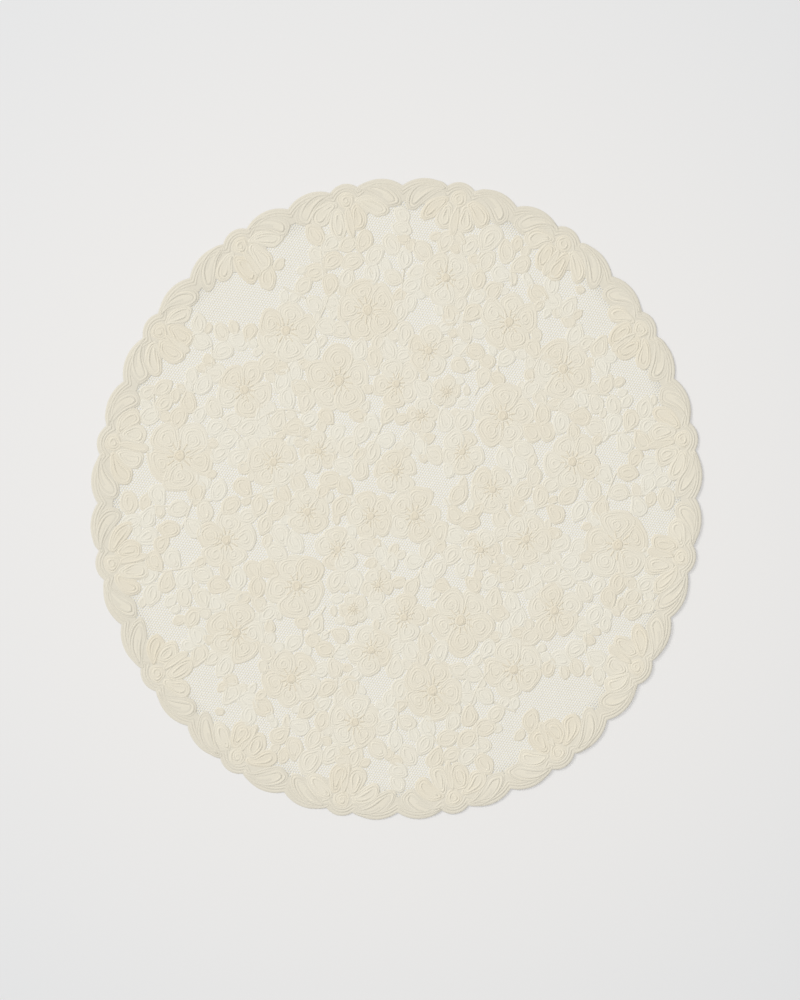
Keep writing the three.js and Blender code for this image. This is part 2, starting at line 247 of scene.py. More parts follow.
# How warm the cream is, from 0 to 1, and by how much it differs between motifs of one kind
LEAF_WARMTH, LEAF_WARMTH_SPREAD = 0.14, 0.3
PETAL_WARMTH, PETAL_WARMTH_SPREAD = 0.2, 0.2
FAN_WARMTH, FAN_WARMTH_SPREAD = 0.42, 0.2
BORDER_WARMTH = 0.3
HEART_WARMTH = 0.95
STITCH_WARMTH = 1

# An egg-shaped motif: its foot on the pattern, its form from there on, its padding's height at the
# outline, how far the padding rises from there to the middle, and how warm its cream is
Egg = namedtuple("Egg", "foot heading length width fullness point bend level rise warmth")


def turn(degrees):
    """Unit vectors in the given directions."""
    angle = np.radians(degrees)
    return np.stack([np.cos(angle), np.sin(angle)], axis=-1)


def polar(radius, degrees):
    """Points at a distance and in a direction from the middle of the pattern."""
    return np.asarray(radius, float)[..., None] * turn(degrees)


def laid(points):
    """Where points of the round pattern lie on the table: slow waves in the radius, which fade as its
    square towards the middle, then the drawn-out axis."""
    angle = np.arctan2(points[..., 1], points[..., 0])
    wave = sum(w.size * np.cos(w.count * angle + math.radians(w.lead)) for w in WAVES)
    outwards = np.linalg.norm(points, axis=-1) / EDGE_RADIUS
    place = points * (1 + wave * outwards**2 / EDGE_RADIUS)[..., None]
    along, across = turn(LONG_AXIS_DEG), turn(LONG_AXIS_DEG + 90)
    drawn_along = (1 + STRETCH) * (place @ along)[..., None] * along
    drawn_across = (1 - STRETCH) * (place @ across)[..., None] * across
    return MM * (drawn_along + drawn_across + PATTERN_MIDDLE)


def edge_lift(points):
    """How far the cloth's underside stands off the table. The roll grows as the square of the way from
    the inside, times what is left of the way. The lift grows as that square too, and with how far the
    place faces that way."""
    far = np.linalg.norm(points, axis=-1)
    outwards = np.clip((far - ROLL_FROM) / (EDGE_RADIUS - ROLL_FROM), 0, 1)
    facing = np.maximum(points @ turn(LIFT_DEG) / np.maximum(far, 1), 0)
    return outwards**2 * (ROLL_PEAK * ROLL * (1 - outwards) + LIFT * facing)


def lifted(points, heights):
    """Pattern points and their heights over the cloth's underside as points in space, in metres."""
    heights = np.asarray(heights, float) + edge_lift(points)
    return np.concatenate([laid(points), MM * heights[..., None]], axis=-1)


def scallop_discs():
    """The discs whose outline is the scalloped edge: one through each two neighbouring notches, as far
    out as the edge's radius."""
    starts = REPEAT_DEG * np.arange(REPEATS)
    notches = np.stack(
        [
            polar(np.full(REPEATS, EDGE_RADIUS - DEEP_NOTCH), starts),
            polar(np.full(REPEATS, EDGE_RADIUS - SIDE_NOTCH), starts + BIG_SCALLOP_DEG),
            polar(np.full(REPEATS, EDGE_RADIUS - SIDE_NOTCH), starts + REPEAT_DEG - BIG_SCALLOP_DEG),
        ],
        axis=1,
    ).reshape(-1, 2)
    following = np.roll(notches, -1, axis=0)
    middle = (notches + following) / 2
    out = np.linalg.norm(middle, axis=1)
    bulge = EDGE_RADIUS - out
    half = np.linalg.norm(following - notches, axis=1) / 2
    radius = (half**2 + bulge**2) / (2 * bulge)
    centre = middle * ((EDGE_RADIUS - radius) / out)[:, None]
    return centre, radius


def edge_radius(degrees, inset):
    """The scalloped edge's distance from the middle, less an inset: the far side of the disc that
    reaches farthest that way."""
    centre, radius = scallop_discs()
    ahead = turn(degrees) @ centre.T
    aside = (centre**2).sum(1) - ahead**2
    reach = np.maximum((radius - inset) ** 2 - aside, 0)
    return np.where(reach > 0, ahead + np.sqrt(reach), 0).max(-1)


def fan_share(degrees):
    """How far a direction is from a deep notch, 0, to a small scallop's middle, 1: a raised cosine."""
    return (1 - np.cos(np.radians(REPEATS * degrees))) / 2


def border_inner_radius(degrees):
    """The border's inner edge: in under each small scallop and out again at each deep notch."""
    return EDGE_RADIUS - BORDER_WIDTH - FAN_DEPTH * fan_share(degrees)


UNEVEN = 0.065  # of an egg's size, how far its outline strays
STRAYS, FINE_STRAYS = 3, 5  # larger and finer waves once round
FINE_UNEVEN = 0.6  # of the larger waves' size


def egg_points(egg, round_it, inset):
    """An egg's points: an ellipse drawn in by the inset, fuller at its far end and more or less pointed
    at both, on a middle line that turns evenly. Its outline strays a little in and out in larger and
    finer waves, which start in another place on each egg."""
    lead = egg.foot[0] + 2 * egg.foot[1]
    finer = FINE_UNEVEN * np.cos(FINE_STRAYS * round_it + 2 * lead)
    stray = 1 + UNEVEN * (np.cos(STRAYS * round_it + lead) + finer)
    half_length, half_width = egg.length / 2, egg.width / 2
    inset_along = inset * min(1, egg.length / egg.width)
    along = half_length + (half_length - inset_along) * np.cos(round_it) * stray
    swell = np.copysign(np.abs(np.sin(round_it)) ** (1 + egg.point), np.sin(round_it))
    across = (half_width - inset) * swell * (1 + egg.fullness * np.cos(round_it)) * stray
    share = along / egg.length
    middle = polar(along, egg.heading + egg.bend * share / 2)
    aside = turn(egg.heading + egg.bend * share + 90)
    return np.asarray(egg.foot) + middle + across[..., None] * aside


def middle_of(egg):
    """The middle of an egg."""
    return np.asarray(egg.foot) + polar(egg.length / 2, egg.heading + egg.bend / 4)


def mound_height(egg, inset):
    """The padding's height at an inset: it rises from the outline as a parabola."""
    from_middle = 1 - inset / (egg.width / 2)
    return egg.level + egg.rise * (1 - from_middle**2)


MOUND_SIDES = 16
MOUND_ROWS = [0.06, 0.5, 0.96]  # as shares of the way from the outline to the middle


def mound(egg):
    """The padding under an egg, as a stack of rings: the underside's middle and edge, then the top from
    its edge to its middle."""
    round_it = np.linspace(0, 2 * np.pi, MOUND_SIDES, endpoint=False)
    insets = egg.width / 2 * np.array([0, *MOUND_ROWS])
    rows = np.concatenate([insets[-1:], insets[:1], insets])
    heights = np.concatenate([[PADDING_BOTTOM] * 2, mound_height(egg, insets)])
    points = egg_points(egg, round_it[None, :], rows[:, None])
    return lifted(points, heights[:, None])


def path_length(path):
    """How far along a path each of its points lies."""
    return np.concatenate([[0], np.cumsum(np.linalg.norm(np.diff(path[:, :2], axis=0), axis=1))])


LEAST_STEPS = 3


def even_steps(path, step):
    """A path's points again, at even steps. Its columns after the first two are carried along."""
    gone = path_length(path)
    count = max(int(round(gone[-1] / step)), LEAST_STEPS)
    places = np.linspace(0, gone[-1], count + 1)
    return np.stack([np.interp(places, gone, column) for column in path.T], axis=1)


def even_cord(line, foot, width, height):
    """A cord of one size along a line of points. Columns x, y, z of what it lies on, width, height."""
    return np.hstack([line, np.tile([foot, width, height], (len(line), 1))])


START_TURN = 0.9  # of the first turn stays on the outline
END_TURN = 0.3  # of the last turn thins out
TURN_POINTS = 48
CORD_END = 0.8  # from the middle
ROW_FADE = 0.85  # of the rows' height comes and goes along them
ROW_HALF_WAVES = 3.4  # in which it does so, to a turn
HEART_BOLDNESS = 1  # how high the rows within a heart's outline stand
BORDER_BOLDNESS = 1  # those of the border's motifs
INNER_BOLDNESS = 0.75  # those of petals and leaves


def wound_cord(egg, boldness):
    """The cord over an egg: it starts at the foot, goes round the outline and winds inwards. The rows
    within the outline stand as high as the boldness says. The columns are those of even_cord()."""
    start = OUTLINE_WIDTH / 2
    turns = max(START_TURN + (egg.width / 2 - start - CORD_END) / CORD_PITCH, 1)
    wound = np.linspace(0, turns, int(TURN_POINTS * turns) + 2)
    inset = start + CORD_PITCH * np.maximum(wound - START_TURN, 0)
    width = np.where(wound < 1, OUTLINE_WIDTH, FILL_WIDTH)
    uneven = 1 + ROW_FADE * np.cos(ROW_HALF_WAVES * np.pi * wound + egg.foot[0])
    row_height = boldness * FILL_HEIGHT * uneven * np.clip((turns - wound) / END_TURN, 0, 1)
    height = np.where(wound < 1, OUTLINE_HEIGHT, row_height)
    points = egg_points(egg, np.pi + 2 * np.pi * wound, np.minimum(inset, egg.width / 2))
    return even_steps(np.column_stack([points, mound_height(egg, inset), width, height]), CORD_STEP)


TURN_ROOM = 0.9  # of a turn's radius that a cord may fill on the inside
NO_LENGTH, NO_TURN = 1e-9, 1e-6  # the least that a step and a turn are taken for


def cord_rings(path):
    """A cord along a path of x, y, z, width and height: its outline again and again, standing across the
    path. On the inside of a tight turn it is narrower, so it doesn't fold over itself."""
    ahead = np.gradient(path[:, :2], axis=0)
    ahead /= np.maximum(np.linalg.norm(ahead, axis=1, keepdims=True), NO_LENGTH)
    aside = np.stack([ahead[:, 1], -ahead[:, 0]], axis=1)
    bearing = np.unwrap(np.arctan2(ahead[:, 1], ahead[:, 0]))
    turning = np.gradient(bearing) / np.gradient(path_length(path))
    most_left = TURN_ROOM / np.maximum(turning, NO_TURN)
    most_right = TURN_ROOM / np.maximum(-turning, NO_TURN)
    out = np.clip(path[:, 3:4] * np.array(CORD_ACROSS), -most_left[:, None], most_right[:, None])
    points = path[:, None, :2] + aside[:, None, :] * out[..., None]
    heights = np.maximum(path[:, 2:3] + path[:, 4:5] * np.array(CORD_UP), PADDING_BOTTOM)
    return lifted(points, heights)


def piece(name, points, corners, sizes, material):
    """A mesh object from points and from faces, given by their corners in one row and by how many each
    face has. It is shaded smooth."""
    mesh = bpy.data.meshes.new(name)
    mesh.vertices.add(len(points))
    mesh.vertices.foreach_set("co", points.astype(np.float32).ravel())
    mesh.loops.add(len(corners))
    mesh.loops.foreach_set("vertex_index", corners.astype(np.int32))
    mesh.polygons.add(len(sizes))
    mesh.polygons.foreach_set("loop_start", np.concatenate([[0], np.cumsum(sizes)[:-1]]).astype(np.int32))
    mesh.update(calc_edges=True)
    mesh.validate()
    mesh.shade_smooth()
    mesh.materials.append(material)
    made = bpy.data.objects.new(name, mesh)
    bpy.context.scene.collection.objects.link(made)
    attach(made, "root")
    return made


def ringed(name, stacks, warmths, material, closed):
    """One mesh of many stacks of rings, with faces between each two rings of a stack. A closed stack's
    rings go all the way round and its ends have flat faces; an open one is a ribbon. Each stack has its
    own warmth of cream. The faces' flat map runs along the stack by rings and once round it."""
    rings = np.concatenate(stacks)
    corners_round = rings.shape[1]
    counts = np.array([len(stack) for stack in stacks])
    last = np.cumsum(counts) - 1
    first = last - counts + 1
    lower = np.delete(np.arange(len(rings)), last)[:, None]
    side = np.arange(corners_round if closed else corners_round - 1)
    this, following = lower * corners_round + side, lower * corners_round + (side + 1) % corners_round
    walls = np.stack([this, following, following + corners_round, this + corners_round], axis=-1)
    corners, sizes = walls.ravel(), np.full(walls.size // 4, 4)
    if closed:
        starts = first[:, None] * corners_round + side[::-1]
        ends = last[:, None] * corners_round + side
        corners = np.concatenate([corners, starts.ravel(), ends.ravel()])
        sizes = np.concatenate([sizes, np.full(2 * len(stacks), corners_round)])
    made = piece(name, rings.reshape(-1, 3), corners, sizes, material)
    made.data.polygons.foreach_set("use_smooth", np.arange(len(sizes)) < walls.size // 4)

    warmth = made.data.attributes.new("warmth", "FLOAT", "POINT")
    warmth.data.foreach_set("value", np.repeat(warmths, counts * corners_round).astype(np.float32))
    along = np.broadcast_to(lower[..., None] + np.array([0, 0, 1, 1]), walls.shape)
    round_it = np.broadcast_to((side[:, None] + np.array([0, 1, 1, 0])) / corners_round, walls.shape)
    flat_map = np.zeros((len(corners), 2), np.float32)
    flat_map[: walls.size] = np.stack([along, round_it], axis=-1).reshape(-1, 2)
    made.data.uv_layers.new(name="along_cord").data.foreach_set("uv", flat_map.ravel())
    return made


def corded(name, eggs, boldness, material):
    """The cords wound over some eggs, as one piece."""
    stacks = [cord_rings(wound_cord(e, boldness)) for e in eggs]
    return ringed(name, stacks, [e.warmth for e in eggs], material, False)


def laid_cords(name, paths, warmth, material):
    """Cords along some paths, all of one warmth, as one piece."""
    return ringed(name, [cord_rings(path) for path in paths], [warmth] * len(paths), material, False)


def set_inputs(node, values):
    """Set some of a node's sockets, each by its name or its number."""
    for socket, value in values.items():
        node.inputs[socket].default_value = value


STRANDS = 2
CLOUD_WARMTH = 0.4  # that slow noise adds at most


def cream_thread(name, pale, warm, twisted):
    """Matt cotton: a pale and a warm cream mixed by the piece's warmth and by slow noise, fine fibres,
    and on a cord the slanting waves of its twisted strands."""
    material = bpy.data.materials.new(name)
    material.use_nodes = True
    nodes, links = material.node_tree.nodes, material.node_tree.links
    shader = nodes["Principled BSDF"]
    set_inputs(shader, {"Roughness": 0.88, "Specular IOR Level": 0.2})
    set_inputs(shader, {"Sheen Weight": 0.2, "Sheen Roughness": 0.5})
    place = nodes.new("ShaderNodeTexCoord")

    cloudy = nodes.new("ShaderNodeTexNoise")
    set_inputs(cloudy, {"Scale": 60, "Detail": 3})
    links.new(place.outputs["Object"], cloudy.inputs["Vector"])
    warmth = nodes.new("ShaderNodeAttribute")
    warmth.attribute_name = "warmth"
    both = nodes.new("ShaderNodeMath")
    both.operation = "MULTIPLY_ADD"
    set_inputs(both, {1: CLOUD_WARMTH})
    links.new(cloudy.outputs["Fac"], both.inputs[0])
    links.new(warmth.outputs["Fac"], both.inputs[2])
    cream = nodes.new("ShaderNodeMix")
    cream.data_type = "RGBA"
    set_inputs(cream, {"A": (*pale, 1), "B": (*warm, 1)})
    links.new(both.outputs["Value"], cream.inputs["Factor"])
    links.new(cream.outputs["Result"], shader.inputs["Base Color"])

    fibres = nodes.new("ShaderNodeTexNoise")
    set_inputs(fibres, {"Scale": 1100})
    links.new(place.outputs["Object"], fibres.inputs["Vector"])
    bump = nodes.new("ShaderNodeBump")
    set_inputs(bump, {"Strength": 0.65, "Distance": 0.00015})
    links.new(fibres.outputs["Fac"], bump.inputs["Height"])
    links.new(bump.outputs["Normal"], shader.inputs["Normal"])
    if twisted:
        slant = nodes.new("ShaderNodeVectorMath")
        slant.operation = "DOT_PRODUCT"
        set_inputs(slant, {1: (2 * math.pi * CORD_STEP / TWIST_LENGTH, 2 * math.pi * STRANDS, 0)})
        links.new(place.outputs["UV"], slant.inputs[0])
        strand = nodes.new("ShaderNodeMath")
        strand.operation = "SINE"
        links.new(slant.outputs["Value"], strand.inputs[0])
        twist = nodes.new("ShaderNodeBump")
        set_inputs(twist, {"Strength": 0.15, "Distance": 0.0001})
        links.new(strand.outputs["Value"], twist.inputs["Height"])
        links.new(twist.outputs["Normal"], bump.inputs["Normal"])
    return material


def half_turned(points):
    """Pattern points, and the same half a turn round the mat."""
    return [np.asarray(points), -np.asarray(points)]


# A flower's parts, as shares of its petals' reach, and how the petals differ from each other
HEART_SHARE = 0.16
PETAL_FOOT = 0.12
PETAL_WIDTH = 0.92
PETAL_FULLNESS = 0.3
PETAL_SWING_DEG = 8
PETAL_SIZE_SPREAD, PETAL_WIDTH_SPREAD = 0.09, 0.12


def all_flowers():
    """Every flower on the mat: those worked twice, half a turn apart, and those in the middle."""
    turned = [f._replace(x=-f.x, y=-f.y, turn=f.turn + 180) for f in FLOWERS]
    return FLOWERS + turned + MIDDLE_FLOWERS


def petals():
    """Five eggs round each heart, narrow towards it and round at the outer end, no two of a flower quite
    alike. Every other one lies a little higher, over its neighbours' edges."""
    draw = np.random.default_rng(3)
    uneven = draw.uniform(-1, 1, (len(FLOWERS), PETALS, 3))
    middle = draw.uniform(-1, 1, (len(MIDDLE_FLOWERS), PETALS, 3))
    made = []
    for f, changes in zip(all_flowers(), np.concatenate([uneven, uneven, middle])):
        for number, (swing, size, breadth) in enumerate(changes):
            heading = f.turn + 360 / PETALS * number + PETAL_SWING_DEG * swing
            reach = f.reach * (1 + PETAL_SIZE_SPREAD * size)
            petal = Egg(
                foot=np.array([f.x, f.y]) + polar(PETAL_FOOT * f.reach, heading),
                heading=heading,
                length=reach * (1 - PETAL_FOOT),
                width=PETAL_WIDTH * f.reach * (1 + PETAL_WIDTH_SPREAD * breadth),
                fullness=PETAL_FULLNESS,
                point=0,
                bend=0,
                level=PADDING_EDGE + PETAL_STEP * (number % 2) + LEVEL_SPREAD * size,
                rise=PETAL_RISE,
                warmth=PETAL_WARMTH + PETAL_WARMTH_SPREAD * swing,
            )
            made.append(petal)
    return made


def hearts():
    """A round knot in the middle of each flower: an egg as wide as it is long."""
    made = []
    for f in all_flowers():
        radius = HEART_SHARE * f.reach
        heart = Egg(
            foot=np.array([f.x - radius, f.y]),
            heading=0,
            length=2 * radius,
            width=2 * radius,
            fullness=0,
            point=0,
            bend=0,
            level=HEART_LEVEL,
            rise=HEART_RISE,
            warmth=HEART_WARMTH,
        )
        made.append(heart)
    return made


STITCHES = 11
STITCH_FROM, STITCH_TO = 0.2, 0.3  # of the petals' reach
STITCH_SPREAD = 0.5  # more for the longest
STITCH_POINTS = 3


def stitches():
    """Short straight stitches that stand out from each heart over the petals' feet, uneven in length."""
    made = []
    longer = np.random.default_rng(7).uniform(0, 1, STITCHES)
    for f in all_flowers():
        for number in range(STITCHES):
            far = STITCH_TO * (1 + STITCH_SPREAD * longer[number])
            shares = np.linspace(STITCH_FROM, far, STITCH_POINTS)
            line = np.array([f.x, f.y]) + polar(f.reach * shares, f.turn + 360 / STITCHES * number)
            made.append(even_cord(line, STITCH_FOOT, STITCH_WIDTH, STITCH_HEIGHT))
    return made


def on_stem(sprig, share):
    """Points at shares of a sprig's stem, an arc: each lies along a chord, which has half of the turn."""
    heading = sprig.heading + sprig.bend * share / 2
    return np.array([sprig.x, sprig.y]) + polar(sprig.length * share, heading)


def sprig_leaf(sprig, number):
    """A sprig's leaf: its foot on the stem and its direction, to either side in turn, the last ahead."""
    share = number / sprig.leaves
    side = 0 if number == sprig.leaves else (-1) ** number
    return on_stem(sprig, share), sprig.heading + sprig.bend * share + side * LEAF_SPREAD_DEG


def leaf(foot, heading, length, bend, over):
    """A leaf: a pointed egg, fuller at its far end, so many millimetres over its neighbours. A sine of
    its place makes it a little higher or lower, and warmer or paler."""
    swing = math.sin(foot[0] * foot[1])
    level, width = PADDING_EDGE + over + LEVEL_SPREAD * swing, LEAF_WIDTH * length
    warmth = LEAF_WARMTH + LEAF_WARMTH_SPREAD * swing
    return Egg(foot, heading, length, width, LEAF_FULLNESS, LEAF_POINT, bend, level, LEAF_RISE, warmth)


WINDOW_CORE = 0.75  # the share of a window's radius that no sprig's leaf covers


def sprig_leaves():
    """The leaves that find room between the border, the flowers and the leaves before them, with their
    half-turn copies, and from where to where they need each sprig's stem, as shares of it."""
    kept, needed = [], []
    taken = [(f.x, f.y, f.reach * PETAL_ROOM) for f in all_flowers()]
    taken += [(w.x, w.y, w.radius * WINDOW_CORE) for w in WINDOWS]
    for sprig in SPRIGS:
        carried = []
        for number in range(1, sprig.leaves + 1):
            foot, heading = sprig_leaf(sprig, number)
            middle = foot + polar(sprig.leaf / 2, heading)
            room = sprig.leaf * LEAF_ROOM
            degrees = math.degrees(math.atan2(middle[1], middle[0]))
            inside = np.linalg.norm(middle) < border_inner_radius(degrees) - room
            others = np.array(taken)
            away = [np.linalg.norm(others[:, :2] - place, axis=1) for place in half_turned(middle)]
            if inside and np.min(away - others[:, 2]) > room:
                bend = LEAF_BEND_DEG * (-1) ** number
                kept.append(leaf(foot, heading, sprig.leaf, bend, LEAF_STEP))
                kept.append(leaf(-foot, heading + 180, sprig.leaf, bend, LEAF_STEP))
                taken.append((*middle, room))
                carried.append(number)
        needed.append((carried[0] - 1, carried[-1]) if carried else (0, 0))
    return kept, np.array(needed) / [[sprig.leaves] for sprig in SPRIGS]


STEM_POINTS = 24


def stems(needed):
    """The sprigs' stems as far as they are needed, with their half-turn copies. A sine of a stem's place
    makes it a little higher or lower."""
    made = []
    for sprig, (start, end) in zip(SPRIGS, needed):
        if end > 0:
            for line in half_turned(on_stem(sprig, np.linspace(start, end, STEM_POINTS))):
                foot = STEM_FOOT + LEVEL_SPREAD * math.sin(line[0, 0] * line[0, 1])
                made.append(even_steps(even_cord(line, foot, STEM_WIDTH, STEM_HEIGHT), CORD_STEP))
    return made


# Half of the palmette that fills each repeat of the border, from the small scallop's middle line to the
# deep notch: each leaf's foot by its distance from the middle and its degrees from the notch, its
# heading from straight outwards, and its form
BorderLeaf = namedtuple("BorderLeaf", "radius degrees heading length width fullness point bend")
COMMA = BorderLeaf(182.4, 9.1, 72, 26.5, 10.2, 0.7, -0.2, 98)
BESIDE_MIDDLE = [
    BorderLeaf(176.6, 9.5, 98, 18.5, 9.4, 0.5, -0.15, 62),
    BorderLeaf(175, 9.5, 170, 17.5, 11.4, 0.25, -0.1, 18),
]
MIDDLE_LEAF = BorderLeaf(174, REPEAT_DEG / 2, 180, 18, 5.4, 0.3, 0, 0)
BUD = BorderLeaf(172.6, REPEAT_DEG / 2, 0, 10.4, 10.4, 0.1, 0, 0)

# How the leaves beside the middle one differ from each other
BORDER_SWING_DEG = 8
BORDER_SIZE_SPREAD = 0.1


def border_egg(shape, notch, side, over, warmth):
    """An egg of the border, on one side of a deep notch, so many millimetres over its neighbours."""
    degrees = notch + side * shape.degrees
    foot, heading = polar(shape.radius, degrees), degrees - side * shape.heading
    level, bend = PADDING_EDGE + over, -side * shape.bend
    form = (shape.length, shape.width, shape.fullness, shape.point, bend)
    return Egg(foot, heading, *form, level, BORDER_RISE, warmth)


def commas():
    """Two commas in each repeat of the border. They fill the big scallops, heads beside the notch."""
    notches = REPEAT_DEG * np.arange(REPEATS)
    return [border_egg(COMMA, notch, side, 0, BORDER_WARMTH) for notch in notches for side in (1, -1)]


def border_leaves():
    """The rest of the palmette in each repeat: a curled and a round leaf on both sides, no two quite
    alike, a narrow one between them, and a bud in the small scallop."""
    made = []
    draw = np.random.default_rng(11)
    for notch in REPEAT_DEG * np.arange(REPEATS):
        for side in (1, -1):
            for shape in BESIDE_MIDDLE:
                swing, size, breadth = draw.uniform(-1, 1, 3)
                strayed = shape._replace(
                    heading=shape.heading + BORDER_SWING_DEG * swing,
                    length=shape.length * (1 + BORDER_SIZE_SPREAD * size),
                    width=shape.width * (1 + BORDER_SIZE_SPREAD * breadth),
                )
                over = LEAF_STEP + LEVEL_SPREAD * size
                warmth = FAN_WARMTH + FAN_WARMTH_SPREAD * swing
                made.append(border_egg(strayed, notch, side, over, warmth))
        made.append(border_egg(MIDDLE_LEAF, notch, 1, 2 * LEAF_STEP, FAN_WARMTH))
        made.append(border_egg(BUD, notch, 1, 0, FAN_WARMTH))
    return made


# Filling leaves: the places tried lie on a grid, each a little astray, and the roomiest come first
FILL_REACH = 170
FILL_GRID, FILL_STRAY = 2.6, 1.2
FILL_ROOMS = [4.4, 3.1, 2.2, 1.8]  # the least free radius, try after try
FILL_LENGTH, FILL_LONGEST = 3.7, 15  # to the free radius, and at most
FILL_SWING_DEG, FILL_BEND_DEG = 50, 40


def filling_leaves(eggs):
    """Small leaves wherever there is still room, with their half-turn copies: they point away from the
    nearest motif and keep clear of the net windows."""
    draw = np.random.default_rng(5)
    across = np.arange(-FILL_REACH, FILL_REACH + 1, FILL_GRID)
    up = np.arange(0, FILL_REACH + 1, FILL_GRID)
    grid = np.stack(np.meshgrid(across, up), axis=-1).reshape(-1, 2)
    grid = grid + draw.uniform(-FILL_STRAY, FILL_STRAY, grid.shape)
    draw.shuffle(grid)
    taken = [(*middle_of(e), (e.length + e.width) / 4) for e in eggs]
    taken += [(*place, w.radius) for w in WINDOWS for place in half_turned((w.x, w.y))]
    taken = np.array(taken)
    made = []
    for least in FILL_ROOMS:
        for place in grid:
            inner_edge = border_inner_radius(math.degrees(math.atan2(place[1], place[0])))
            gaps = np.linalg.norm(taken[:, :2] - place, axis=1) - taken[:, 2]
            opposite = np.linalg.norm(taken[:, :2] + place, axis=1) - taken[:, 2]
            room = min(gaps.min(), opposite.min(), inner_edge - np.linalg.norm(place))
            if room < least:
                continue
            length = min(FILL_LENGTH * room, FILL_LONGEST)
            onwards = place - taken[gaps.argmin(), :2]
            swing = draw.uniform(-FILL_SWING_DEG, FILL_SWING_DEG)
            heading = math.degrees(math.atan2(onwards[1], onwards[0])) + swing
            foot = place - polar(length / 2, heading)
            bend = draw.uniform(-FILL_BEND_DEG, FILL_BEND_DEG)
            over = draw.uniform(0, LEAF_STEP)
            for half, start in zip((0, 180), half_turned(foot)):
                made.append(leaf(start, heading + half, length, bend, over))
                taken = np.append(taken, [[*middle_of(made[-1]), length * LEAF_ROOM]], axis=0)
    return made


EdgeRow = namedtuple("EdgeRow", "inset foot width height")
EDGE_ROWS = [
    EdgeRow(0.75, 0.14, 1.6, 0.14),
    EdgeRow(2.4, 0.22, 1.4, 0.24),
    EdgeRow(3.9, 0.2, 1.4, 0.22),
]
EDGE_POINTS = 66  # to a repeat


def edge_rows():
    """Cords along the scalloped edge, one at each inset."""
    degrees = np.linspace(0, 360, REPEATS * EDGE_POINTS + 1)
    made = []
    for row in EDGE_ROWS:
        line = polar(edge_radius(degrees, row.inset), degrees)
        made.append(even_steps(even_cord(line, row.foot, row.width, row.height), CORD_STEP))
    return made


GROUND_COVERED = 4  # how far in past its ground the border reaches
GROUND_STEPS = 30  # to a repeat
GROUND_ROWS = [0, 0.03, 0.2, 0.4, 0.6, 0.8, 0.97, 1]  # as shares of the way from the edge inwards


def ground_inner_radius(degrees):
    """The inner edge of the border's ground: nearly even past the deep notches, and in under the round
    leaves with the square of a raised cosine."""
    return EDGE_RADIUS - BORDER_WIDTH + GROUND_COVERED - FAN_DEPTH * fan_share(degrees) ** 2


def border_ground():
    """Close flat stitching under the border's motifs, from the scalloped edge to its inner one: a flat
    band all the way round, with a top and an underside."""
    degrees = np.linspace(360, 0, REPEATS * GROUND_STEPS + 1)[:, None]
    inner, outer = ground_inner_radius(degrees), edge_radius(degrees, EDGE_ROWS[0].inset)
    inwards = np.array([*GROUND_ROWS, *GROUND_ROWS[::-1], GROUND_ROWS[0]])
    top, underside = [GROUND_TOP] * len(GROUND_ROWS), [PADDING_BOTTOM] * len(GROUND_ROWS)
    heights = np.array([*top, *underside, GROUND_TOP])
    corners = polar(outer + (inner - outer) * inwards, degrees + 0 * inwards)
    return lifted(corners, heights)


def inside_eggs(points, eggs, margin):
    """Which points lie in any egg drawn in by a margin, by each egg's own middle line and width there."""
    inside = np.zeros(len(points), bool)
    for egg in eggs:
        near = np.flatnonzero(np.abs(points - middle_of(egg)).max(1) < egg.length)
        offset = points[near] - np.asarray(egg.foot)
        along = np.linalg.norm(offset, axis=1)
        direction = np.degrees(np.arctan2(offset[:, 1], offset[:, 0])) - egg.heading
        direction = (direction + 180) % 360 - 180
        share = np.clip(along / egg.length, 0, 1)
        aside = along * np.sin(np.radians(direction - egg.bend * share / 2))
        along = along * np.cos(np.radians(direction - egg.bend * share / 2))
        half_length, half_width = egg.length / 2 - margin, egg.width / 2 - margin
        reach = (along - egg.length / 2) / half_length
        swell = np.maximum(1 - reach**2, 0) ** ((1 + egg.point) / 2)
        wide = half_width * swell * (1 + egg.fullness * reach)
        inside[near] |= (np.abs(aside) < wide) & (np.abs(reach) < 1)
    return inside


NET_BANDS = [(-200, -62), (-62, 62), (62, 200)]
NET_CELLS = 162  # each way from the middle
NET_MARGIN = 1.6  # how far the net runs in under a motif
NET_RIM = 2  # cells along the net's own sides that start no bars
KNOT_POINTS = 4

# From a lower knot's cell to the cells whose upper knots it joins, in columns and rows
NEIGHBOUR_CELLS = [(0, 0), (0, -1), (1, -1)]


def net_knots():
    """The net's knots, two to a cell: the lower ones in rows across the long axis, and the upper ones a
    bar's length farther along it."""
    columns, rows = np.arange(-2 * NET_CELLS, 2 * NET_CELLS), np.arange(-NET_CELLS, NET_CELLS)
    column, row = np.meshgrid(columns, rows, indexing="ij")
    across, along = turn(LONG_AXIS_DEG - 90), turn(LONG_AXIS_DEG)
    aside, ahead = NET_PITCH * (column + row / 2), NET_PITCH * row * math.sqrt(3) / 2
    lower = aside[..., None] * across + ahead[..., None] * along
    upper = lower + NET_PITCH / math.sqrt(3) * along
    return lower, upper


